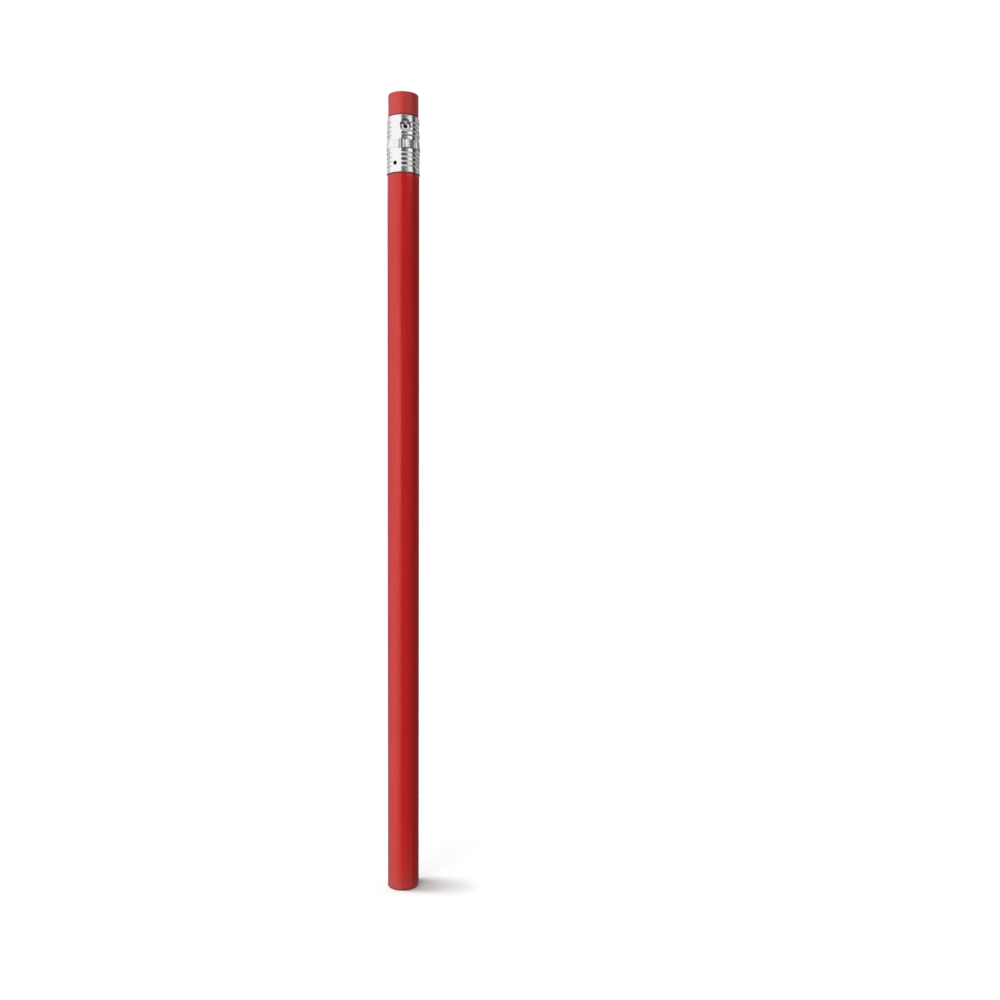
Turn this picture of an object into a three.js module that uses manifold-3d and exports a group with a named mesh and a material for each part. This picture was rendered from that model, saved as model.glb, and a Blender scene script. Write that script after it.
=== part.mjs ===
// A round wood-cased pencil with an eraser, unsharpened, standing on its square-cut base.
// Millimetres, +Z up. The origin is the middle of the base, and the axis runs up to the eraser.
// Angles round the axis start at the front (-Y) and grow towards the right (+X).

import * as THREE from 'three';
import { mergeVertices } from 'three/addons/utils/BufferGeometryUtils.js';
import Module from 'manifold-3d';

// Barrel
const overallLength = 190;
const bodyDiameter = 7.5;
const lacquerThickness = 0.15;
const coreDiameter = 2.2;
const glueThickness = 0.1;

// Ferrule: an aluminium sleeve over the tenon and the eraser
const ferruleLength = 13.1;
const ferruleWall = 0.25;
const ferruleProud = 0.06; // stands out from the barrel by this much all round
const lipBevel = 0.07;
const tenonLength = 6.5;

// Ring grooves, in one set above and one below the ferrule's middle
const groovesPerSet = 4;
const grooveOffset = 2; // from the ferrule's middle to the first groove of a set
const groovePitch = 1;
const grooveHalfWidth = 0.25;
const grooveDepth = 0.09;

// Serrated band round the ferrule's middle
const bandHeight = 2.15;
const bandProud = 0.08;
const bandBevel = 0.18;
const serrationCount = 34;
const serrationDepth = 0.12;

// Crimps: dents with a pricked hole that lock the ferrule to the eraser and to the wood
const prickDiameter = 1.06;
const prickDepth = 0.7; // into the rubber or the wood under a crimp
const upperCrimpCount = 4;
const upperCrimpAngle = THREE.MathUtils.degToRad(13.5);
const upperCrimpDrop = 2.65; // below the ferrule's top
const upperCrimpRadius = 1.75;
const upperCrimpDepth = 0.45;
const lowerCrimpCount = 3;
const lowerCrimpAngle = THREE.MathUtils.degToRad(-29);
const lowerCrimpRise = 2.15; // above the ferrule's bottom
const lowerCrimpRadius = 1.05;
const lowerCrimpDepth = 0.24;

// Eraser
const eraserExposed = 5.5;
const eraserRelief = 0.01; // slimmer than the ferrule's bore by this much all round
const eraserEdgeRadius = 0.3;
const plugBevel = 0.4;

// Fits between pieces
const coatFit = 0.02; // wood to lacquer
const coreFit = 0.05; // core to its grooves
const glueFit = 0.02; // glue film to each half
const tenonFit = 0.04; // tenon to the ridges that the grooves raise inside the ferrule
const eraserFit = 0.04; // eraser to the ferrule's bore
const seatGap = 0.05; // end to end: ferrule on shoulder, eraser on tenon

// Facets
const sides = 2 * serrationCount; // one crest and one valley to each serration
const coreSides = 32;
const prickSides = 12;
const edgeSteps = 4;
const leastRowStep = 0.08; // rows of facets closer together than this become one

// Radii worked out from the barrel
const bodyRadius = bodyDiameter / 2;
const coatBore = bodyRadius - lacquerThickness;
const woodRadius = coatBore - coatFit;
const coreRadius = coreDiameter / 2;
const coreBore = coreRadius + coreFit;
const ferruleRadius = bodyRadius + ferruleProud;
const ferruleBore = ferruleRadius - ferruleWall;
const tenonRadius = ferruleBore - grooveDepth - tenonFit;
const eraserRadius = ferruleBore - eraserRelief;

// Heights worked out from the length
const ferruleTop = overallLength - eraserExposed;
const ferruleBottom = ferruleTop - ferruleLength;
const ferruleMiddle = (ferruleTop + ferruleBottom) / 2;
const shoulder = ferruleBottom - seatGap;
const tenonTop = ferruleBottom + tenonLength;
const plugBottom = tenonTop + seatGap;

const grooveCentres = [];
for (let i = 0; i < groovesPerSet; i += 1) {
  const distance = grooveOffset + i * groovePitch;
  grooveCentres.push(ferruleMiddle - distance, ferruleMiddle + distance);
}

// A row of equal crimps, evenly spaced round the ferrule from the one at the first angle.
function crimpRow(count, firstAngle, crimp) {
  const step = (2 * Math.PI) / count;
  return Array.from({ length: count }, (_, i) => ({ angle: firstAngle + i * step, ...crimp }));
}

const upperCrimp = {
  height: ferruleTop - upperCrimpDrop,
  radius: upperCrimpRadius,
  depth: upperCrimpDepth,
};
const lowerCrimp = {
  height: ferruleBottom + lowerCrimpRise,
  radius: lowerCrimpRadius,
  depth: lowerCrimpDepth,
};
const crimps = [
  ...crimpRow(upperCrimpCount, upperCrimpAngle, upperCrimp),
  ...crimpRow(lowerCrimpCount, lowerCrimpAngle, lowerCrimp),
];

// How fully a crimp's punch has pressed a place: 1 at its middle, easing to 0 at the bowl's edge.
function pressAt(crimp, angle, height) {
  const turn = angle - crimp.angle;
  const along = ferruleRadius * Math.atan2(Math.sin(turn), Math.cos(turn));
  const nearness = Math.max(0, 1 - Math.hypot(along, height - crimp.height) / crimp.radius);
  return nearness * nearness * (3 - 2 * nearness);
}

function dentAt(angle, height) {
  return Math.max(...crimps.map((crimp) => crimp.depth * pressAt(crimp, angle, height)));
}

// How much of a groove's depth the punches have flattened: 0 away from the crimps.
function flattenedAt(angle, height) {
  return Math.max(...crimps.map((crimp) => pressAt(crimp, angle, height)));
}

// Depth of the ring grooves at a height: a V that closes at the given reach from its centre.
function grooveAt(height, reach) {
  const nearest = Math.min(...grooveCentres.map((centre) => Math.abs(height - centre)));
  return grooveDepth * Math.max(0, 1 - nearest / reach);
}

function outsideAt(height) {
  const intoBand = bandHeight / 2 - Math.abs(height - ferruleMiddle);
  const bandRise = bandProud * THREE.MathUtils.clamp(intoBand / bandBevel, 0, 1);
  return ferruleRadius + bandRise - grooveAt(height, grooveHalfWidth);
}

// Inside, each groove shows as a wider ridge, because the sleeve is pressed in and not cut.
function boreAt(height) {
  return ferruleBore - grooveAt(height, groovePitch / 2);
}

function serrationAt(angle, height) {
  const inBand = Math.abs(height - ferruleMiddle) < bandHeight / 2 - bandBevel / 2;
  return inBand ? (serrationDepth * (1 - Math.cos(serrationCount * angle))) / 2 : 0;
}

// Heights in rising order, without those that nearly meet the one before.
function risingRows(heights) {
  const sorted = [...heights].sort((a, b) => a - b);
  const rows = [];
  for (const height of sorted) {
    if (rows.length === 0 || height - rows[rows.length - 1] > leastRowStep) {
      rows.push(height);
    }
  }
  return rows;
}

// Rows that the ferrule's bore shares with the tenon and the eraser, so that all three seat facet to facet.
const boreRows = risingRows(
  grooveCentres.flatMap((centre) => [centre - groovePitch / 2, centre, centre + groovePitch / 2]),
);

function rowsBetween(rows, low, high) {
  return rows.filter((height) => height > low + leastRowStep && height < high - leastRowStep);
}

// A solid of revolution about Z, from a profile of [radius, height] points that runs up its outside.
function revolve(profile) {
  const points = profile.map(([radius, height]) => new THREE.Vector2(radius, height));
  return new THREE.LatheGeometry(points, sides).rotateX(Math.PI / 2);
}

// Presses the walls of a revolved solid towards the axis by a depth that varies round it and along it.
function pressIn(geometry, depthAt) {
  const position = geometry.attributes.position;
  for (let i = 0; i < position.count; i += 1) {
    const x = position.getX(i);
    const y = position.getY(i);
    const radius = Math.hypot(x, y);
    if (radius > coreBore) {
      const pressed = radius - depthAt(Math.atan2(x, -y), position.getZ(i), radius);
      position.setXY(i, (x * pressed) / radius, (y * pressed) / radius);
    }
  }
  return geometry;
}

const wasm = await Module();
wasm.setup();

function toSolid(geometry) {
  const bare = geometry.clone();
  bare.deleteAttribute('normal');
  bare.deleteAttribute('uv');
  const merged = mergeVertices(bare);
  return new wasm.Manifold(
    new wasm.Mesh({
      numProp: 3,
      vertProperties: new Float32Array(merged.attributes.position.array),
      triVerts: new Uint32Array(merged.index.array),
    }),
  );
}

function toGeometry(solid) {
  const { vertProperties, triVerts } = solid.getMesh();
  const geometry = new THREE.BufferGeometry();
  geometry.setAttribute('position', new THREE.BufferAttribute(vertProperties, 3));
  geometry.setIndex(new THREE.BufferAttribute(triVerts, 1));
  geometry.computeVertexNormals();
  return geometry;
}

// A block between two corners, used to cut the turned stick along its seam.
function blockBetween(low, high) {
  const size = new THREE.Vector3().subVectors(high, low);
  const middle = new THREE.Vector3().addVectors(low, high).multiplyScalar(0.5);
  return toSolid(new THREE.BoxGeometry(size.x, size.y, size.z).translate(middle.x, middle.y, middle.z));
}

// Pricks a hole towards the axis at each crimp, through the ferrule and into what lies under it.
function pricked(solid) {
  const outerEnd = 2 * ferruleRadius;
  const radius = prickDiameter / 2;
  let result = solid;
  for (const { angle, height, depth } of crimps) {
    const tip = ferruleBore - depth - prickDepth;
    const prick = new THREE.CylinderGeometry(radius, radius, outerEnd - tip, prickSides);
    prick.translate(0, -(outerEnd + tip) / 2, 0).rotateZ(angle).translate(0, 0, height);
    result = result.subtract(toSolid(prick));
  }
  return result;
}

// The whole wooden stick, bored for the core, with the tenon that the ferrule is crimped on.
function turnedStick() {
  const tenonRows = rowsBetween(boreRows, shoulder, tenonTop);
  const profile = [
    [coreBore, 0],
    [woodRadius, 0],
    [woodRadius, shoulder],
    [tenonRadius, shoulder],
    ...tenonRows.map((height) => [tenonRadius, height]),
    [tenonRadius, tenonTop],
    [coreBore, tenonTop],
    [coreBore, 0],
  ];
  return pricked(toSolid(pressIn(revolve(profile), dentAt)));
}

const stick = turnedStick();
const reach = bodyDiameter; // well outside the stick on every side
const seamHalf = glueThickness / 2;
const halfFace = seamHalf + glueFit;

function stickBetween(low, high) {
  return toGeometry(stick.intersect(blockBetween(low, high)));
}

function casingHalfFront() {
  const low = new THREE.Vector3(-reach, -reach, -reach);
  const high = new THREE.Vector3(reach, -halfFace, overallLength);
  return stickBetween(low, high);
}

function casingHalfBack() {
  const low = new THREE.Vector3(-reach, halfFace, -reach);
  const high = new THREE.Vector3(reach, reach, overallLength);
  return stickBetween(low, high);
}

function glueSeamLeft() {
  const low = new THREE.Vector3(-reach, -seamHalf, -reach);
  const high = new THREE.Vector3(0, seamHalf, overallLength);
  return stickBetween(low, high);
}

function glueSeamRight() {
  const low = new THREE.Vector3(0, -seamHalf, -reach);
  const high = new THREE.Vector3(reach, seamHalf, overallLength);
  return stickBetween(low, high);
}

function graphiteCore() {
  const rod = new THREE.CylinderGeometry(coreRadius, coreRadius, tenonTop, coreSides);
  return rod.rotateX(Math.PI / 2).translate(0, 0, tenonTop / 2);
}

function lacquerCoat() {
  return revolve([
    [coatBore, 0],
    [bodyRadius, 0],
    [bodyRadius, shoulder],
    [coatBore, shoulder],
    [coatBore, 0],
  ]);
}

// The sleeve before its crimps are pricked: grooves, serrations and dents pressed into a drawn tube.
function pressedSleeve() {
  const bandHalf = bandHeight / 2;
  const bandRows = [bandHalf, bandHalf - bandBevel, bandBevel - bandHalf, -bandHalf];
  const crimpRows = crimps.flatMap(({ height, radius }) => [height - radius, height, height + radius]);
  const outsideRows = risingRows([
    ferruleBottom + lipBevel,
    ferruleTop - lipBevel,
    ...grooveCentres.flatMap((centre) => [centre - grooveHalfWidth, centre, centre + grooveHalfWidth]),
    ...bandRows.map((offset) => ferruleMiddle + offset),
    ...crimpRows,
  ]);
  const insideRows = rowsBetween(boreRows, ferruleBottom, ferruleTop).reverse();
  const sleeve = revolve([
    [ferruleBore, ferruleBottom],
    [ferruleRadius - lipBevel, ferruleBottom],
    ...outsideRows.map((height) => [outsideAt(height), height]),
    [ferruleRadius - lipBevel, ferruleTop],
    [ferruleBore, ferruleTop],
    ...insideRows.map((height) => [boreAt(height), height]),
    [ferruleBore, ferruleBottom],
  ]);
  return pressIn(sleeve, (angle, height, radius) => {
    const dent = dentAt(angle, height);
    const outside = radius > boreAt(height) + ferruleWall / 2;
    if (!outside) {
      return dent;
    }
    const flattened = grooveAt(height, grooveHalfWidth) * flattenedAt(angle, height);
    return dent + serrationAt(angle, height) - flattened;
  });
}

function ferrule() {
  return toGeometry(pricked(toSolid(pressedSleeve())));
}

// The rubber plug, squeezed by the ferrule's ridges and crimps, with a rounded top edge.
function eraser() {
  const plugFull = plugBottom + plugBevel;
  const plugRows = rowsBetween(boreRows, plugFull, ferruleTop);
  const edge = Array.from({ length: edgeSteps + 1 }, (_, i) => {
    const turn = (i / edgeSteps) * (Math.PI / 2);
    const radius = eraserRadius - eraserEdgeRadius * (1 - Math.cos(turn));
    return [radius, overallLength - eraserEdgeRadius * (1 - Math.sin(turn))];
  });
  const plug = revolve([
    [0, plugBottom],
    [boreAt(plugFull) - eraserFit - plugBevel, plugBottom],
    [boreAt(plugFull) - eraserFit, plugFull],
    ...plugRows.map((height) => [boreAt(height) - eraserFit, height]),
    [ferruleBore - eraserFit, ferruleTop],
    [eraserRadius, ferruleTop + seatGap],
    ...edge,
    [0, overallLength],
  ]);
  return toGeometry(pricked(toSolid(pressIn(plug, dentAt))));
}

const finishes = {
  lacquer: { color: '#b4242a', roughness: 0.18, metalness: 0 },
  wood: { color: '#c9a070', roughness: 0.75, metalness: 0 },
  glue: { color: '#d8c9a4', roughness: 0.6, metalness: 0 },
  graphite: { color: '#3a3b3d', roughness: 0.45, metalness: 0.1 },
  aluminium: { color: '#d6d7d9', roughness: 0.22, metalness: 1 },
  rubber: { color: '#bd4540', roughness: 0.85, metalness: 0 },
};

const pencil = new THREE.Group();

function addPiece(name, geometry, finish) {
  const piece = new THREE.Mesh(geometry, new THREE.MeshStandardMaterial(finish));
  piece.name = name;
  pencil.add(piece);
}

addPiece('casing_half_front', casingHalfFront(), finishes.wood);
addPiece('casing_half_back', casingHalfBack(), finishes.wood);
addPiece('glue_seam_left', glueSeamLeft(), finishes.glue);
addPiece('glue_seam_right', glueSeamRight(), finishes.glue);
addPiece('graphite_core', graphiteCore(), finishes.graphite);
addPiece('lacquer_coat', lacquerCoat(), finishes.lacquer);
addPiece('ferrule', ferrule(), finishes.aluminium);
addPiece('eraser', eraser(), finishes.rubber);

export default pencil;
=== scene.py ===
"""A round red pencil with an eraser, standing on its square-cut base on a pale floor.

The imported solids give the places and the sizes. The lacquer coat, the ferrule and the eraser are modelled
again here as fine meshes, and the wood, the glue and the core keep their solids under new materials.
Lengths are in millimetres, apart from the studio's, which are in metres as Blender's own are.
"""

import math

import bmesh
import bpy
import numpy as np
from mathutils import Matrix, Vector


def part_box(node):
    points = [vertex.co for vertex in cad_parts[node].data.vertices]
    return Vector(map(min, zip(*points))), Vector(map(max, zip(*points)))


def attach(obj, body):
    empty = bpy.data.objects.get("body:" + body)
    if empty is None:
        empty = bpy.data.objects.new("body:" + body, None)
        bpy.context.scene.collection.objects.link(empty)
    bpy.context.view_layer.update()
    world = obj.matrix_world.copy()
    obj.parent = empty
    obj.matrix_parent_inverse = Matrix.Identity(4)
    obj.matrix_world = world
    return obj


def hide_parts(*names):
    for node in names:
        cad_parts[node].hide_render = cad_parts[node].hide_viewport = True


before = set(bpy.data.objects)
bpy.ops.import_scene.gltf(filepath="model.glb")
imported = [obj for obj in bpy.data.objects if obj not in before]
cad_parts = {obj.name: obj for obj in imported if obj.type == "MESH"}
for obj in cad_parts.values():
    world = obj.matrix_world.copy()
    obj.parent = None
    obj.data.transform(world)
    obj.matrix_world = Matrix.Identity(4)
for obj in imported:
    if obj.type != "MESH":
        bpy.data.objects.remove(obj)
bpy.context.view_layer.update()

MM = 0.001
TAU = 2 * math.pi

# Ferrule: rolled grooves above and below a serrated band
WALL = 0.25
FERRULE_PROUD = 0.06
LIP = 0.07
GROOVES_PER_SET = 4
GROOVE_OFFSET = 2.0
GROOVE_PITCH = 1.0
GROOVE_BELOW, GROOVE_ABOVE = 0.24, 0.13
GROOVE_DEPTH = 0.10
BAND_HEIGHT = 2.15
BAND_PROUD_LOW, BAND_PROUD_HIGH = 0.13, 0.03
BAND_BEVEL = 0.20
SERRATIONS = 34
SERRATION_DEPTH = 0.09
SERRATION_FALL = 0.75
SERRATION_PHASE = 0.42
CREST_LEAN_DEG, END_LEAN_DEG = 1.5, 4.2
SHOULDER_FALL = 0.04
FERRULE_UNEVENNESS = 0.010

# Crimps: cones with an eased rim, pressed in round a pricked hole
UPPER_CRIMPS, UPPER_CRIMP_DEG, UPPER_CRIMP_STEP_DEG = 4, 13.5, 84.0
UPPER_CRIMP_DROP, UPPER_CRIMP_REACH, UPPER_CRIMP_SLOPE = 2.35, 1.50, 0.52
LOWER_CRIMPS, LOWER_CRIMP_DEG, LOWER_CRIMP_STEP_DEG = 3, -26.2, 120.0
LOWER_CRIMP_RISE, LOWER_CRIMP_REACH, LOWER_CRIMP_SLOPE = 2.15, 1.05, 0.28
CRIMP_EASE = 0.6
UPPER_PRICK_RADIUS, UPPER_PRICK_DEPTH, UPPER_PRICK_DROP = 0.52, 0.35, 0.30
LOWER_PRICK_RADIUS, LOWER_PRICK_DEPTH, LOWER_PRICK_DROP = 0.48, 0.7, 0.0
NEEDLE_SPARE = 1.0

# A groove ends at the inner share of a crimp's reach, and is whole again past the outer share
GROOVE_END_SHARE, GROOVE_WHOLE_SHARE = 0.6, 1.1

# Eraser
ERASER_EDGE = 0.28
ERASER_CROWN = 0.02
ERASER_FIT = 0.04
ERASER_PINCH, PINCH_REACH = 0.04, 0.5
ERASER_WEAR = 0.012
PLUG_BEVEL = 0.4

# Barrel
LACQUER = 0.15
LACQUER_EDGE = 0.12
LACQUER_SWELL = 0.006

# Random swells: waves in each, and the spread of their rates
SWELL_WAVES = 10
SWELL_RATES = (0.5, 1.5)

# Mesh density. The arc of an edge starts some degrees off the wall, and the wall's end row closes it.
FERRULE_COLUMNS = SERRATIONS * 12
FERRULE_ROW = 0.11
GROOVE_ROWS = 4
BORE_ROW = 0.45
LIP_START_DEG, LIP_STEPS = 20, 3
PRICK_SIDES = 24
BARREL_COLUMNS = 192
BARREL_ROW = 1.0
LACQUER_EDGE_START_DEG, LACQUER_EDGE_STEPS = 15, 5
ERASER_COLUMNS = 256
ERASER_ROW = 0.12
ERASER_EDGE_START_DEG, ERASER_EDGE_STEPS = 6, 12
CROWN_SHARES = (0.85, 0.65, 0.4, 0.2, 0)
WELD_DISTANCE = 0.0001
BARREL_SHARP_DEG, FERRULE_SHARP_DEG, ERASER_SHARP_DEG = 50, 18, 60

# Colours, as linear red, green and blue
LACQUER_DEEP, LACQUER_LIGHT = (0.590, 0.0145, 0.0130), (0.635, 0.0175, 0.0155)
# Painted shade on the barrel: towards the foot, and a dark line along the base edge
LACQUER_FOOT_SHADE, LACQUER_CONTACT_SHADE = (0.42, 0.046, 0.034), (0.07, 0.005, 0.007)
# Painted shade under the ferrule
LACQUER_SHADED = (0.10, 0.008, 0.010)
LACQUER_GLOSS = (1.0, 0.53, 0.50, 1)
ALUMINIUM_DULL, ALUMINIUM_BRIGHT = (0.905, 0.885, 0.895), (0.955, 0.935, 0.945)
# Painted shade for the deep dents
ALUMINIUM_DENT_SHADE = (0.36, 0.33, 0.33)
RUBBER_DEEP, RUBBER_LIGHT = (0.555, 0.022, 0.014), (0.605, 0.027, 0.018)
RUBBER_DUST, RUBBER_DARK_TOP = (0.68, 0.13, 0.11), (0.33, 0.035, 0.030)
# Painted shade on the rubber: just above the ferrule's mouth, and inside the ferrule
RUBBER_RIM_SHADE, RUBBER_HIDDEN_SHADE = (0.17, 0.014, 0.034), (0.20, 0.035, 0.050)
WOOD_TAN, WOOD_PALE = (0.56, 0.355, 0.185), (0.66, 0.45, 0.25)
# The second is painted shade for the wood inside the ferrule
WOOD_LATE, WOOD_HIDDEN_SHADE = (0.36, 0.19, 0.085), (0.022, 0.010, 0.010)
GRAPHITE_DARK, GRAPHITE_LIGHT = (0.030, 0.031, 0.034), (0.085, 0.087, 0.092)
GLUE_DARK, GLUE_LIGHT = (0.52, 0.40, 0.22), (0.70, 0.60, 0.40)

# Most values of a noise texture lie in this range
NOISE_RANGE = (0.3, 0.7)

# Wood: where the growth rings of each half centre, their rate, and how far they wander
FRONT_PITH, BACK_PITH = (-2.0, -9.0), (11.0, -3.0)
RING_RATE, RING_WANDER = 5.2, 5.0

# Camera, from the perspective of the photograph
IMAGE_SIDE_PX = 1000
FOCAL_PX = 1034.9
SENSOR_MM = 36.0
CAMERA_PLACE = (23.19, -248.77, 108.16)
CAMERA_TURN_DEG = (86.889, -0.287, 0.0)
CLIP_START = 5.0

# Studio, in metres; lamps and cards lie at an azimuth from the front towards the right, and an elevation
STAGE_MIDDLE = Vector((0, 0, 0.095))
AMBIENT = 0.30
FLOOR_RADIUS, FLOOR_SIDES, FLOOR_DROP = 0.30, 96, 0.00002
FLOOR_SHADE, FLOOR_GLOW = 0.84, 0.06
FLOOR_FADE_MM = (80, 280)
SIDE_LAMP_DISTANCE = 0.65
FRONT_LAMP_DEG, FRONT_LAMP_SIZE, FRONT_LAMP_LEVEL = (-29, 3), (0.4, 0.2), 0.67
REAR_LAMP_DEG, REAR_LAMP_SIZE, REAR_LAMP_LEVEL = (150, 2), (0.4, 0.18), 0.25
TOP_LAMP_PLACE, TOP_LAMP_SIZE, TOP_LAMP_LEVEL = Vector((-0.054, 0.004, 1.5)), (0.038, 0.118), 0.72
CARD_DISTANCE, CARD_STEP_DEG = 1.4, 6

# What shiny surfaces mirror: azimuths, elevations and shade.
# The leaning crests of the ferrule mirror the walls above 16 degrees, and the barrel those below that.
CARDS = (
    ("left_softbox", (-105, -9), (16, 89), 1.0),
    ("left_table", (-105, -9), (-89, -28), 1.0),
    ("left_window_1", (-105, -82), (-28, 16), 0.80),
    ("left_window_2", (-82, -62), (-28, 16), 0.95),
    ("left_window_3", (-62, -41), (-28, 16), 1.0),
    ("left_window_4", (-41, -27), (-28, 16), 0.74),
    ("left_window_5", (-27, -12), (-28, 16), 0.50),
    ("left_rear_high", (-180, -105), (16, 89), 0.62),
    ("left_rear_table", (-180, -105), (-89, -28), 0.62),
    ("left_rear_wall", (-180, -140), (-28, 16), 0.10),
    ("left_side_wall", (-140, -105), (-28, 16), 0.45),
    ("front_wall", (-9, 29), (16, 22), 0.035),
    ("front_high_wall_1", (-9, 12), (22, 32), 0.15),
    ("front_high_wall_2", (12, 24), (22, 32), 0.24),
    ("front_high_wall_3", (24, 40), (22, 32), 0.42),
    ("front_upper_wall", (-9, 74), (32, 42), 0.06),
    ("front_low_wall", (-12, 29), (-26, 16), 0.06),
    ("front_ceiling", (-9, 82), (42, 89), 0.74),
    ("front_table", (-12, 74), (-89, -26), 0.42),
    ("right_strip_edge", (29, 40), (18, 22), 0.40),
    ("right_strip", (40, 74), (18, 32), 1.0),
    ("right_low_wall", (29, 74), (-26, 18), 0.08),
    ("right_gap", (74, 103), (-28, 44), 0.045),
    ("right_gap_ceiling", (82, 106), (44, 89), 0.25),
    ("right_gap_table", (74, 103), (-89, -28), 0.25),
    ("rear_right_high", (103, 180), (18, 89), 0.40),
    ("rear_right_table", (103, 180), (-89, -28), 0.36),
    ("rear_right_wall", (103, 180), (-28, 18), 0.09),
)


def z_range(node):
    """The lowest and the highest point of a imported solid, in millimetres."""
    low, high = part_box(node)
    return low.z / MM, high.z / MM


def half_depth(node):
    """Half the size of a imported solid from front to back, in millimetres."""
    low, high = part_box(node)
    return (high.y - low.y) / 2 / MM


BARREL_RADIUS = half_depth("lacquer_coat")
BARREL_BOTTOM, BARREL_TOP = z_range("lacquer_coat")
FERRULE_BOTTOM, FERRULE_TOP = z_range("ferrule")
FERRULE_MIDDLE = (FERRULE_BOTTOM + FERRULE_TOP) / 2
FERRULE_RADIUS = BARREL_RADIUS + FERRULE_PROUD
FERRULE_BORE = FERRULE_RADIUS - WALL
BAND_BOTTOM, BAND_TOP = FERRULE_MIDDLE - BAND_HEIGHT / 2, FERRULE_MIDDLE + BAND_HEIGHT / 2
ERASER_BOTTOM, ERASER_TOP = z_range("eraser")
ERASER_RADIUS = FERRULE_BORE
UPPER_CRIMP_HEIGHT = FERRULE_TOP - UPPER_CRIMP_DROP
LOWER_CRIMP_HEIGHT = FERRULE_BOTTOM + LOWER_CRIMP_RISE

GROOVE_STEPS = GROOVE_OFFSET + GROOVE_PITCH * np.arange(GROOVES_PER_SET)
GROOVE_CENTRES = FERRULE_MIDDLE + np.concatenate([-GROOVE_STEPS[::-1], GROOVE_STEPS])


# Shape functions, on arrays of angles (from the front towards the right) and heights

def smooth_bump(distance, reach):
    """1 at no distance, falling smoothly to 0 at the reach."""
    near = np.clip(1 - distance / reach, 0, 1)
    return near * near * (3 - 2 * near)


class Crimp:
    """A cone with an eased rim, pressed into the ferrule."""

    def __init__(self, angle, height, reach, slope):
        self.angle = angle
        self.height = height
        self.reach = reach
        self.slope = slope
        self.depth = slope * (reach - CRIMP_EASE / 2)

    def distance(self, angle, height):
        """Distance from the crimp's middle over the ferrule's surface."""
        turn = angle - self.angle
        along = FERRULE_RADIUS * np.arctan2(np.sin(turn), np.cos(turn))
        return np.hypot(along, height - self.height)

    def dent(self, angle, height):
        """How far the crimp presses the surface in."""
        inside = np.maximum(self.reach - self.distance(angle, height), 0)
        rim = inside ** 2 / (2 * CRIMP_EASE)
        return self.slope * np.where(inside < CRIMP_EASE, rim, inside - CRIMP_EASE / 2)

    def spared(self, angle, height):
        """The share of a groove's depth that the crimp leaves: 0 in the dent and 1 outside it."""
        share = self.distance(angle, height) / self.reach
        return np.clip((share - GROOVE_END_SHARE) / (GROOVE_WHOLE_SHARE - GROOVE_END_SHARE), 0, 1)


def crimp_row(count, first_deg, step_deg, height, reach, slope):
    """Crimps at one height, in even steps round the ferrule."""
    turns_deg = [first_deg + index * step_deg for index in range(count)]
    return [Crimp(math.radians(turn_deg), height, reach, slope) for turn_deg in turns_deg]


UPPER_ROW = crimp_row(UPPER_CRIMPS, UPPER_CRIMP_DEG, UPPER_CRIMP_STEP_DEG,
                      UPPER_CRIMP_HEIGHT, UPPER_CRIMP_REACH, UPPER_CRIMP_SLOPE)
LOWER_ROW = crimp_row(LOWER_CRIMPS, LOWER_CRIMP_DEG, LOWER_CRIMP_STEP_DEG,
                      LOWER_CRIMP_HEIGHT, LOWER_CRIMP_REACH, LOWER_CRIMP_SLOPE)
CRIMPS = UPPER_ROW + LOWER_ROW


def crimp_depth(angle, height):
    """How far the deepest crimp at a place presses the surface in."""
    return np.maximum.reduce([crimp.dent(angle, height) for crimp in CRIMPS])


def groove_depth(angle, height):
    """Sharp rolled grooves, steeper above than below, and flattened where a crimp is pressed."""
    above = height[..., None] - GROOVE_CENTRES
    share = 1 - np.where(above > 0, above / GROOVE_ABOVE, -above / GROOVE_BELOW)
    spared = np.minimum.reduce([crimp.spared(angle, height) for crimp in CRIMPS])
    return GROOVE_DEPTH * np.clip(share, 0, 1).max(axis=-1) * spared


def shoulder_depth(height):
    """The shoulder above the serrated band falls away into the first groove over it."""
    groove = FERRULE_MIDDLE + GROOVE_OFFSET
    heights = [BAND_TOP, groove - GROOVE_BELOW, groove + GROOVE_ABOVE]
    return np.interp(height, heights, [0, SHOULDER_FALL, 0])


def pressed_depth(angle, height):
    """How far the grooves, the shoulder and the crimps press the sleeve in, and the rubber under it."""
    return groove_depth(angle, height) + shoulder_depth(height) + crimp_depth(angle, height)


def lean(height):
    """Each crest between grooves leans in towards its top, and so do the plain ends, a little more."""
    starts = np.concatenate([[FERRULE_BOTTOM], GROOVE_CENTRES + GROOVE_ABOVE])
    ends = np.concatenate([GROOVE_CENTRES - GROOVE_BELOW, [FERRULE_TOP]])
    lean_deg = np.full(len(starts), CREST_LEAN_DEG)
    lean_deg[[0, -1]] = END_LEAN_DEG
    fall = np.tan(np.radians(lean_deg)) * (ends - starts)
    at_start, at_end = fall / 2, -fall / 2
    at_start[0], at_end[0] = fall[0], 0
    at_start[-1], at_end[-1] = 0, -fall[-1]
    heights = np.stack([starts, ends], -1).ravel()
    return np.interp(height, heights, np.stack([at_start, at_end], -1).ravel())


def band_share(height):
    """1 on the serrated band, falling to 0 over its bevel."""
    into = BAND_HEIGHT / 2 - np.abs(height - FERRULE_MIDDLE)
    return 1 - smooth_bump(np.maximum(into, 0), BAND_BEVEL)


def band_proud(height):
    """The band stands furthest out at its lower edge."""
    return np.interp(height, (BAND_BOTTOM, BAND_TOP), (BAND_PROUD_LOW, BAND_PROUD_HIGH))


def serration_depth(angle):
    """Teeth like a saw's: each falls slowly towards the right and then rises steeply."""
    along = np.mod(SERRATIONS * angle / TAU + SERRATION_PHASE, 1)
    return SERRATION_DEPTH * np.minimum(along / SERRATION_FALL, (1 - along) / (1 - SERRATION_FALL))


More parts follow.
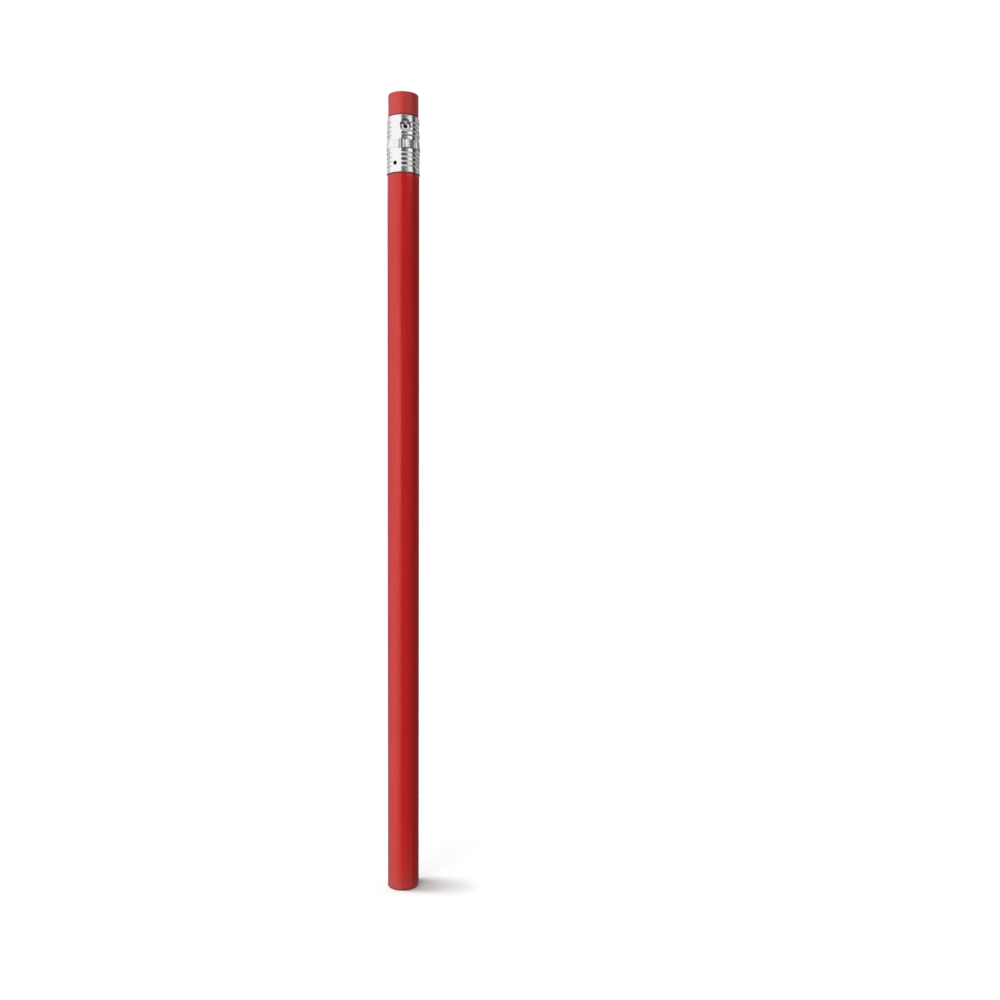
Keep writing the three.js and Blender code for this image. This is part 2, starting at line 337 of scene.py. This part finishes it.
def unevenness(angle, height, seed, length, turns):
    """A gentle random swell, mostly within -1 to 1, with waves of about the given length along the axis."""
    rng = np.random.default_rng(seed)
    swell = np.zeros(np.broadcast(angle, height).shape)
    for _ in range(SWELL_WAVES):
        around = rng.integers(0, turns + 1)
        along = TAU / length * rng.uniform(*SWELL_RATES)
        swell = swell + np.sin(around * angle + along * height + rng.uniform(0, TAU))
    return swell / math.sqrt(SWELL_WAVES)


# Mesh making

def add_object(name, data):
    obj = bpy.data.objects.new(name, data)
    bpy.context.scene.collection.objects.link(obj)
    return obj


def angles(columns):
    """One row of even angles round the axis."""
    return (np.arange(columns) * TAU / columns)[None, :]


def spaced(start, end, step):
    """Even places from start to end, about a step apart."""
    return np.linspace(start, end, max(2, round(abs(end - start) / step) + 1))


def rounding(centre_radius, centre_height, size, start_deg, end_deg, steps):
    """Profile points on an arc, whose angle is 0 outwards and 90 upwards."""
    turn = np.radians(np.linspace(start_deg, end_deg, steps + 1))
    return [(centre_radius + size * math.cos(t), centre_height + size * math.sin(t)) for t in turn]


def profile_arrays(profile, columns):
    """Rows of radii and heights from a profile of (radius, height) points."""
    radius = np.repeat(np.array([point[0] for point in profile])[:, None], columns, axis=1)
    height = np.array([point[1] for point in profile])[:, None]
    return radius, height


def ring_mesh(name, radius, height, close_rows=False):
    """A mesh of revolution from rows of radii and heights, which may vary round the axis.

    Rows run up the outside. close_rows joins the last row to the first, for a wall with two faces."""
    rows, columns = radius.shape
    angle = angles(columns)
    x, y = radius * np.sin(angle), -radius * np.cos(angle)
    points = np.stack([x, y, np.broadcast_to(height, radius.shape)], -1).reshape(-1, 3)
    index = np.arange(rows * columns).reshape(rows, columns)
    low = index if close_rows else index[:-1]
    high = np.roll(index, -1, axis=0)[:len(low)]
    faces = np.stack([low, np.roll(low, -1, axis=1), np.roll(high, -1, axis=1), high], -1).reshape(-1, 4)
    mesh = bpy.data.meshes.new(name)
    mesh.from_pydata((points * MM).tolist(), [], faces.tolist())
    return add_object(name, mesh)


def weld(obj):
    """Joins the points of a row that has no radius into one point on the axis."""
    work = bmesh.new()
    work.from_mesh(obj.data)
    bmesh.ops.remove_doubles(work, verts=work.verts, dist=WELD_DISTANCE * MM)
    work.to_mesh(obj.data)
    work.free()


def smooth_shade(obj, sharp_deg):
    """Shades the surface smoothly, apart from edges sharper than the angle."""
    obj.data.shade_smooth()
    obj.data.set_sharp_from_angle(angle=math.radians(sharp_deg))


def prick(obj, crimps, radius, depth, drop):
    """Cuts the needle's hole at each crimp, through the sleeve or into what lies under it."""
    outer_end = FERRULE_RADIUS + NEEDLE_SPARE
    for crimp in crimps:
        tip = FERRULE_BORE - crimp.depth - depth
        outward = Vector((math.sin(crimp.angle), -math.cos(crimp.angle), 0))
        upward = Vector((0, 0, crimp.height - drop))
        bpy.ops.mesh.primitive_cylinder_add(
            vertices=PRICK_SIDES, radius=radius * MM, depth=(outer_end - tip) * MM,
            location=(outward * (outer_end + tip) / 2 + upward) * MM,
            rotation=(math.pi / 2, 0, crimp.angle))
        needle = bpy.context.object
        cut = obj.modifiers.new("prick", "BOOLEAN")
        cut.object = needle
        cut.operation = "DIFFERENCE"
        cut.solver = "EXACT"
        bpy.context.view_layer.objects.active = obj
        bpy.ops.object.modifier_apply(modifier=cut.name)
        bpy.data.objects.remove(needle)


# Pieces

def make_barrel():
    """The lacquer coat, with an eased edge at either end and a faint swell from dipping."""
    bore = BARREL_RADIUS - LACQUER
    inner = BARREL_RADIUS - LACQUER_EDGE
    low, high = BARREL_BOTTOM + LACQUER_EDGE, BARREL_TOP - LACQUER_EDGE
    profile = [(bore, BARREL_BOTTOM)]
    profile += rounding(inner, low, LACQUER_EDGE, -90, -LACQUER_EDGE_START_DEG, LACQUER_EDGE_STEPS)
    profile += [(BARREL_RADIUS, z) for z in spaced(low, high, BARREL_ROW)]
    profile += rounding(inner, high, LACQUER_EDGE, LACQUER_EDGE_START_DEG, 90, LACQUER_EDGE_STEPS)
    profile += [(bore, BARREL_TOP)]
    radius, height = profile_arrays(profile, BARREL_COLUMNS)
    swell = unevenness(angles(BARREL_COLUMNS), height, seed=3, length=9.0, turns=5)
    radius = radius - np.where(radius > bore, LACQUER_SWELL * (1 + swell / 2), 0)
    barrel = ring_mesh("lacquer_barrel", radius, height, close_rows=True)
    smooth_shade(barrel, BARREL_SHARP_DEG)
    return barrel


def ferrule_rows(low, high):
    """Heights from low to high, closer together across each groove."""
    below = np.linspace(-GROOVE_BELOW, 0, GROOVE_ROWS)
    above = np.linspace(0, GROOVE_ABOVE, GROOVE_ROWS)[1:]
    grooves = (GROOVE_CENTRES[:, None] + np.concatenate([below, above])).ravel()
    clear = GROOVE_BELOW + FERRULE_ROW / 3
    plain = [z for z in spaced(low, high, FERRULE_ROW) if np.abs(z - GROOVE_CENTRES).min() > clear]
    return np.sort(np.concatenate([grooves, plain]))


def make_ferrule():
    """The aluminium sleeve: rolled grooves, serrated band, pressed crimps and the holes pricked in them."""
    turn = angles(FERRULE_COLUMNS)
    lip_radius = FERRULE_RADIUS - LIP
    low, high = FERRULE_BOTTOM + LIP, FERRULE_TOP - LIP
    profile = rounding(lip_radius, low, LIP, -90, -LIP_START_DEG, LIP_STEPS)
    wall_start = len(profile)
    profile += [(FERRULE_RADIUS, z) for z in ferrule_rows(low, high)]
    wall_end = len(profile)
    profile += rounding(lip_radius, high, LIP, LIP_START_DEG, 90, LIP_STEPS)
    outside_end = len(profile)
    profile += [(FERRULE_BORE, z) for z in (FERRULE_TOP, *spaced(high, low, BORE_ROW), FERRULE_BOTTOM)]
    radius, height = profile_arrays(profile, FERRULE_COLUMNS)
    radius = radius - pressed_depth(turn, height)
    radius[:outside_end] += lean(height[:outside_end])
    wall = slice(wall_start, wall_end)
    radius[wall] += (band_proud(height[wall]) - serration_depth(turn)) * band_share(height[wall])
    radius[wall] += FERRULE_UNEVENNESS * unevenness(turn, height[wall], seed=8, length=5.0, turns=6)
    sleeve = ring_mesh("ferrule_sleeve", radius, height, close_rows=True)
    prick(sleeve, UPPER_ROW, UPPER_PRICK_RADIUS, UPPER_PRICK_DEPTH, UPPER_PRICK_DROP)
    prick(sleeve, LOWER_ROW, LOWER_PRICK_RADIUS, LOWER_PRICK_DEPTH, LOWER_PRICK_DROP)
    smooth_shade(sleeve, FERRULE_SHARP_DEG)
    return sleeve


def eraser_profile(plug, flat):
    """The plug in the ferrule, the side above it, the soft edge, and the crown towards the axis."""
    edge_start = ERASER_TOP - ERASER_CROWN - ERASER_EDGE
    profile = [(0, ERASER_BOTTOM), (plug - GROOVE_DEPTH - PLUG_BEVEL, ERASER_BOTTOM)]
    profile += [(plug, z) for z in spaced(ERASER_BOTTOM + PLUG_BEVEL, FERRULE_TOP, ERASER_ROW)]
    profile += [(ERASER_RADIUS, z) for z in spaced(FERRULE_TOP + ERASER_ROW, edge_start, ERASER_ROW)]
    profile += rounding(flat, edge_start, ERASER_EDGE, ERASER_EDGE_START_DEG, 90, ERASER_EDGE_STEPS)
    profile += [(flat * share, ERASER_TOP - ERASER_CROWN * share ** 2) for share in CROWN_SHARES]
    return profile


def make_eraser():
    """The rubber plug: a soft top edge, pinched where it enters the ferrule and dented by the crimps."""
    turn = angles(ERASER_COLUMNS)
    flat = ERASER_RADIUS - ERASER_EDGE
    radius, height = profile_arrays(eraser_profile(FERRULE_BORE - ERASER_FIT, flat), ERASER_COLUMNS)
    side = radius >= flat
    gripped = side & (height <= FERRULE_TOP)
    pinch = ERASER_PINCH * smooth_bump(np.abs(height - FERRULE_TOP), PINCH_REACH)
    worn = ERASER_WEAR * (1 - unevenness(turn, height, seed=21, length=3.0, turns=7))
    dented = pressed_depth(turn, height)
    radius = radius - np.where(side, pinch, 0) - np.where(gripped, dented, 0)
    radius = radius - np.where(side & ~gripped, worn, 0)
    eraser = ring_mesh("eraser_plug", radius, height)
    weld(eraser)
    prick(eraser, UPPER_ROW, UPPER_PRICK_RADIUS, UPPER_PRICK_DEPTH, UPPER_PRICK_DROP)
    smooth_shade(eraser, ERASER_SHARP_DEG)
    return eraser


# Materials

class Nodes:
    """Short calls for the nodes that the materials and the world share."""

    def __init__(self, tree):
        self.tree = tree

    def node(self, kind, inputs=None, **settings):
        node = self.tree.nodes.new(kind)
        for key, value in settings.items():
            setattr(node, key, value)
        for key, value in (inputs or {}).items():
            self.feed(node.inputs[key], value)
        return node

    def feed(self, socket, value):
        """Links a node's output to the socket, or sets the socket to a plain value."""
        if isinstance(value, bpy.types.NodeSocket):
            self.tree.links.new(value, socket)
        else:
            socket.default_value = value

    def spread(self, value, low, high, to_low=0.0, to_high=1.0):
        """Maps the range from low to high onto another, and holds its ends beyond it."""
        values = {"Value": value, "From Min": low, "From Max": high, "To Min": to_low, "To Max": to_high}
        return self.node("ShaderNodeMapRange", values, clamp=True).outputs["Result"]

    def math(self, operation, first, second=0.0):
        return self.node("ShaderNodeMath", {0: first, 1: second}, operation=operation).outputs["Value"]

    def seen(self):
        """1 for rays from the camera, from shiny surfaces and through clear ones, and 0 for the rest."""
        path = self.node("ShaderNodeLightPath").outputs
        shiny = self.math("MAXIMUM", path["Is Glossy Ray"], path["Is Transmission Ray"])
        return self.math("MAXIMUM", path["Is Camera Ray"], shiny)


class Look(Nodes):
    """A node material in the making, with its lengths in millimetres."""

    def __init__(self, name):
        self.material = bpy.data.materials.new(name)
        self.material.use_nodes = True
        super().__init__(self.material.node_tree)
        self.surface = self.tree.nodes["Principled BSDF"]

    def set(self, **values):
        """Feeds the surface's inputs, named with _ for a space."""
        for key, value in values.items():
            self.feed(self.surface.inputs[key.replace("_", " ")], value)

    def place(self, stretch=(1, 1, 1)):
        """Object coordinates in millimetres, stretched along the axes."""
        coordinates = self.node("ShaderNodeTexCoord").outputs["Object"]
        scale = tuple(s / MM for s in stretch)
        return self.node("ShaderNodeMapping", {"Vector": coordinates, "Scale": scale}).outputs["Vector"]

    def height(self):
        return self.node("ShaderNodeSeparateXYZ", {"Vector": self.place()}).outputs["Z"]

    def off_axis(self, x=0.0, y=0.0):
        """Distance from an upright axis through x and y."""
        moved = self.node("ShaderNodeVectorMath", {0: self.place(), 1: (x, y, 0)}, operation="SUBTRACT")
        level = self.node("ShaderNodeVectorMath", {0: moved.outputs[0], 1: (1, 1, 0)}, operation="MULTIPLY")
        return self.node("ShaderNodeVectorMath", {0: level.outputs[0]}, operation="LENGTH").outputs["Value"]

    def noise(self, place, scale, detail=3.0, roughness=0.5):
        values = {"Vector": place, "Scale": scale, "Detail": detail, "Roughness": roughness}
        return self.node("ShaderNodeTexNoise", values).outputs["Fac"]

    def vary(self, noise, low=0.0, high=1.0):
        """Spreads a noise from low to high."""
        return self.spread(noise, *NOISE_RANGE, low, high)

    def blend(self, share, first, second):
        """Mixes two colours, each a tuple or the output of a node."""
        node = self.node("ShaderNodeMix", data_type="RGBA")
        self.feed(node.inputs["Factor"], share)
        self.feed(node.inputs["A"], (*first, 1) if isinstance(first, tuple) else first)
        self.feed(node.inputs["B"], (*second, 1) if isinstance(second, tuple) else second)
        return node.outputs["Result"]

    def stain_and_shade(self, colour, stain_and_shade, value, span, shares):
        """Lays a stain or a painted shade over a colour, with a share that changes over a span of the
        value.
        """
        return self.blend(self.spread(value, *span, *shares), colour, stain_and_shade)

    def bump(self, height, depth, under=None):
        """A normal for bumps of the given depth, on top of another bump if there is one."""
        values = {"Height": height, "Distance": depth * MM}
        if under is not None:
            values["Normal"] = under
        return self.node("ShaderNodeBump", values).outputs["Normal"]


def lacquer_look():
    """A glossy dipped coat: faint streaks, dust nibs, and painted shade at the foot, along the base edge
    and under the ferrule.
    """
    look = Look("red_lacquer")
    even = look.place()
    height = look.height()
    streaks = look.vary(look.noise(look.place((1, 1, 0.12)), scale=0.9, detail=4))
    colour = look.blend(streaks, LACQUER_DEEP, LACQUER_LIGHT)
    # Painted shade over the lowest 4.5 mm, with a paler green that stands in for a haze there
    colour = look.stain_and_shade(colour, LACQUER_FOOT_SHADE, height, span=(0.0, 4.5), shares=(0.6, 0.0))
    # Painted contact shadow: a dark line just above the base edge
    colour = look.stain_and_shade(colour, LACQUER_CONTACT_SHADE, height, span=(0.15, 0.50), shares=(0.93, 0.0))
    # Painted shade in the gap just under the ferrule
    collar = BARREL_TOP - 0.45, BARREL_TOP - 0.15
    look.set(Base_Color=look.stain_and_shade(colour, LACQUER_SHADED, height, span=collar, shares=(0.0, 0.85)))
    look.set(IOR=1.6, Specular_IOR_Level=0.9, Specular_Tint=LACQUER_GLOSS)
    look.set(Roughness=look.vary(look.noise(even, scale=0.7), low=0.13, high=0.18))
    off_speck = look.node("ShaderNodeTexVoronoi", {"Vector": even, "Scale": 0.28}).outputs["Distance"]
    nibs = look.spread(off_speck, low=0.0, high=0.02, to_low=1.0, to_high=0.0)
    normal = look.bump(look.noise(look.place((1, 1, 0.3)), scale=0.55, detail=2), depth=0.008)
    normal = look.bump(look.noise(even, scale=2.2, detail=2), depth=0.002, under=normal)
    look.set(Normal=look.bump(nibs, depth=0.006, under=normal))
    return look.material


def aluminium_look():
    """Bright drawn metal: fine lines, rolled rings, painted shade in the deep dents, and duller ends and
    band.
    """
    look = Look("drawn_aluminium")
    even = look.place()
    drawn = look.place((9, 9, 0.25))
    bright = look.vary(look.noise(drawn, scale=0.8, detail=4))
    clean = look.blend(bright, ALUMINIUM_DULL, ALUMINIUM_BRIGHT)
    # Painted shade darkens the deepest parts of the crimps and the walls of the pricked holes
    dents = FERRULE_RADIUS - 0.70, FERRULE_RADIUS - 0.48
    dent_shaded = look.stain_and_shade(clean, ALUMINIUM_DENT_SHADE, look.off_axis(), span=dents, shares=(0.65, 0.0))
    look.set(Base_Color=dent_shaded, Metallic=1.0)
    haze = look.vary(look.noise(even, scale=0.8, detail=4), low=0.0, high=0.06)
    rolled = look.vary(look.noise(look.place((0.12, 0.12, 6)), scale=1.0, detail=2), low=0.09, high=0.14)
    away = look.math("ABSOLUTE", look.math("SUBTRACT", look.height(), FERRULE_MIDDLE))
    ends_start = GROOVE_OFFSET + (GROOVES_PER_SET - 0.5) * GROOVE_PITCH
    ends = look.spread(away, ends_start - 0.2, ends_start + 0.2, to_low=0.0, to_high=0.05)
    band_edge = BAND_HEIGHT / 2
    band = look.spread(away, band_edge - 0.1, band_edge + 0.1, to_low=0.09, to_high=0.0)
    look.set(Roughness=look.math("ADD", look.math("ADD", haze, rolled), look.math("ADD", ends, band)))
    normal = look.bump(look.noise(even, scale=1.3, detail=2), depth=0.010)
    look.set(Normal=look.bump(look.noise(drawn, scale=1.6), depth=0.0012, under=normal))
    return look.material


def rubber_look():
    """Dense rubber: cloudy and grainy, darker at the top edge, with painted shade just above the ferrule
    and inside it.
    """
    look = Look("red_rubber")
    even = look.place()
    height = look.height()
    cloud = look.spread(look.noise(even, scale=0.6, detail=5, roughness=0.6), low=0.35, high=0.65)
    grain = look.noise(even, scale=9.0, detail=3, roughness=0.6)
    body = look.blend(cloud, RUBBER_DEEP, RUBBER_LIGHT)
    body = look.stain_and_shade(body, RUBBER_DUST, grain, span=(0.60, 0.72), shares=(0.0, 0.15))
    # Darker at the top edge
    top_edge = ERASER_TOP - 0.45, ERASER_TOP - 0.15
    body = look.stain_and_shade(body, RUBBER_DARK_TOP, height, span=top_edge, shares=(0.0, 0.45))
    # Painted contact shadow on the rubber just above the ferrule's mouth
    rim = FERRULE_TOP + 0.1, FERRULE_TOP + 0.6
    body = look.stain_and_shade(body, RUBBER_RIM_SHADE, height, span=rim, shares=(0.92, 0.0))
    # Painted shade on the rubber inside the ferrule, seen through the pricked holes
    gripped = FERRULE_TOP - 0.6, FERRULE_TOP - 0.1
    look.set(Base_Color=look.stain_and_shade(body, RUBBER_HIDDEN_SHADE, height, span=gripped, shares=(1.0, 0.0)))
    look.set(Roughness=look.vary(grain, low=0.36, high=0.48), Specular_IOR_Level=0.9)
    normal = look.bump(look.noise(even, scale=2.4, detail=4), depth=0.020)
    look.set(Normal=look.bump(grain, depth=0.008, under=normal))
    return look.material


def wood_look(name, pith):
    """Pale softwood: growth rings about a pith to one side, fine fibres, saw marks, and painted shade on
    the tenon inside the ferrule.
    """
    look = Look(name)
    wander = look.math("MULTIPLY", look.noise(look.place((1, 1, 0.05)), scale=0.5), RING_WANDER)
    rings = look.math("ADD", look.math("MULTIPLY", look.off_axis(*pith), RING_RATE), wander)
    fibre = look.noise(look.place((7, 7, 0.12)), scale=1.0, detail=4)
    pale = look.blend(look.vary(fibre), WOOD_TAN, WOOD_PALE)
    grain = look.stain_and_shade(pale, WOOD_LATE, look.math("SINE", rings), span=(-0.2, 1.0), shares=(0.0, 0.6))
    # Painted shade on the wood inside the ferrule, seen through the pricked holes
    tenon = FERRULE_BOTTOM, FERRULE_BOTTOM + 0.8
    look.set(Base_Color=look.stain_and_shade(grain, WOOD_HIDDEN_SHADE, look.height(), span=tenon, shares=(0.0, 0.94)))
    look.set(Roughness=look.vary(fibre, low=0.65, high=0.85))
    normal = look.bump(look.noise(look.place((0.3, 8, 1)), scale=1.0, detail=2), depth=0.02)
    look.set(Normal=look.bump(fibre, depth=0.015, under=normal))
    return look.material


def graphite_look():
    """A dark, slightly metallic core with a fine grain."""
    look = Look("graphite")
    grain = look.noise(look.place(), scale=12.0, detail=4, roughness=0.6)
    light = look.spread(grain, low=0.35, high=0.7)
    look.set(Base_Color=look.blend(light, GRAPHITE_DARK, GRAPHITE_LIGHT), Metallic=0.35)
    look.set(Roughness=look.vary(grain, low=0.32, high=0.55), Normal=look.bump(grain, depth=0.01))
    return look.material


def glue_look():
    """A cloudy, yellowish film of dried glue."""
    look = Look("dried_glue")
    cloud = look.noise(look.place(), scale=3.0, detail=4)
    look.set(Base_Color=look.blend(cloud, GLUE_DARK, GLUE_LIGHT))
    look.set(Roughness=look.vary(cloud, low=0.35, high=0.6), Normal=look.bump(cloud, depth=0.01))
    return look.material


def dress(obj, material):
    obj.data.materials.clear()
    obj.data.materials.append(material)


# Stage

def grey(level):
    return level, level, level, 1


def towards(azimuth_deg, elevation_deg, distance):
    """A place at an azimuth, an elevation and a distance from the pencil's middle."""
    azimuth, elevation = math.radians(azimuth_deg), math.radians(elevation_deg)
    level = math.cos(elevation)
    direction = Vector((math.sin(azimuth) * level, -math.cos(azimuth) * level, math.sin(elevation)))
    return STAGE_MIDDLE + direction * distance


def lamp(name, place, aim, size, level):
    """A soft lamp that nothing mirrors. It lights a matte white card at its aim to the given level."""
    light = bpy.data.lights.new(name, "AREA")
    light.shape = "RECTANGLE"
    light.size, light.size_y = size
    light.energy = level * math.pi ** 2 * (place - aim).length_squared
    obj = add_object(name, light)
    obj.location = place
    obj.rotation_euler = (aim - place).to_track_quat("-Z", "Y").to_euler()
    obj.visible_camera = False
    obj.visible_glossy = False


def make_lamps():
    """Two broad lamps at the pencil's own height, and a small one overhead that throws its shadow."""
    front_place = towards(*FRONT_LAMP_DEG, SIDE_LAMP_DISTANCE)
    rear_place = towards(*REAR_LAMP_DEG, SIDE_LAMP_DISTANCE)
    base = Vector((0, 0, 0))
    lamp("front_left_lamp", front_place, STAGE_MIDDLE, FRONT_LAMP_SIZE, FRONT_LAMP_LEVEL)
    lamp("rear_lamp", rear_place, STAGE_MIDDLE, REAR_LAMP_SIZE, REAR_LAMP_LEVEL)
    lamp("overhead_lamp", TOP_LAMP_PLACE, base, TOP_LAMP_SIZE, TOP_LAMP_LEVEL)


def reflection_card(name, azimuths, elevations, shade):
    """A patch of the studio that only shiny surfaces see: a softbox, a dark wall or the table."""
    across, up = spaced(*azimuths, CARD_STEP_DEG), spaced(*elevations, CARD_STEP_DEG)
    index = np.arange(len(across) * len(up)).reshape(len(up), len(across))
    faces = np.stack([index[:-1, :-1], index[:-1, 1:], index[1:, 1:], index[1:, :-1]], -1).reshape(-1, 4)
    mesh = bpy.data.meshes.new(name)
    mesh.from_pydata([towards(a, e, CARD_DISTANCE) for e in up for a in across], [], faces.tolist())
    card = add_object(name, mesh)
    look = Look(name)
    look.set(Base_Color=grey(0), Specular_IOR_Level=0.0)
    look.set(Emission_Color=grey(shade), Emission_Strength=1.0)
    dress(card, look.material)
    card.visible_camera = False
    card.visible_diffuse = False
    card.visible_shadow = False


def make_world():
    """A white background, with a dimmer even light on matte surfaces."""
    world = bpy.data.worlds.new("studio")
    bpy.context.scene.world = world
    world.use_nodes = True
    nodes = Nodes(world.node_tree)
    strength = nodes.spread(nodes.seen(), 0.0, 1.0, AMBIENT, 1.0)
    background = world.node_tree.nodes["Background"]
    background.inputs["Color"].default_value = grey(1)
    nodes.feed(background.inputs["Strength"], strength)


def make_floor():
    """A round pale floor that fades into the white background and keeps the pencil's shadow."""
    turns = [index * TAU / FLOOR_SIDES for index in range(FLOOR_SIDES)]
    rim = [(FLOOR_RADIUS * math.cos(turn), FLOOR_RADIUS * math.sin(turn), 0) for turn in turns]
    mesh = bpy.data.meshes.new("floor")
    mesh.from_pydata(rim, [], [tuple(range(FLOOR_SIDES))])
    floor = add_object("floor", mesh)
    floor.location.z = -FLOOR_DROP
    look = Look("pale_floor")
    look.set(Base_Color=grey(FLOOR_SHADE), Roughness=1.0, Specular_IOR_Level=0.0)
    look.set(Emission_Color=grey(1), Emission_Strength=look.math("MULTIPLY", look.seen(), FLOOR_GLOW))
    look.set(Alpha=look.spread(look.off_axis(), *FLOOR_FADE_MM, 1.0, 0.0))
    dress(floor, look.material)
    floor.visible_diffuse = False
    floor.visible_glossy = False


def make_camera():
    """The camera of the photograph, with no blur."""
    lens = bpy.data.cameras.new("camera")
    lens.sensor_width = SENSOR_MM
    lens.lens = FOCAL_PX * SENSOR_MM / IMAGE_SIDE_PX
    lens.clip_start = CLIP_START * MM
    camera = add_object("camera", lens)
    camera.location = Vector(CAMERA_PLACE) * MM
    camera.rotation_euler = [math.radians(turn) for turn in CAMERA_TURN_DEG]
    bpy.context.scene.camera = camera


bpy.context.scene.view_settings.view_transform = "Standard"
make_camera()
make_world()
make_floor()
make_lamps()
for card in CARDS:
    reflection_card(*card)

REPLACED = (
    (make_barrel(), lacquer_look(), "lacquer_coat", "lacquer"),
    (make_ferrule(), aluminium_look(), "ferrule", "ferrule"),
    (make_eraser(), rubber_look(), "eraser", "eraser"),
)
for piece, material, node, slot in REPLACED:
    dress(piece, material)
    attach(piece, "root")
    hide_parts(node)

glue = glue_look()
KEPT = {
    "casing_half_front": wood_look("front_wood", FRONT_PITH),
    "casing_half_back": wood_look("back_wood", BACK_PITH),
    "graphite_core": graphite_look(),
    "glue_seam_left": glue,
    "glue_seam_right": glue,
}
for node, material in KEPT.items():
    dress(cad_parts[node], material)
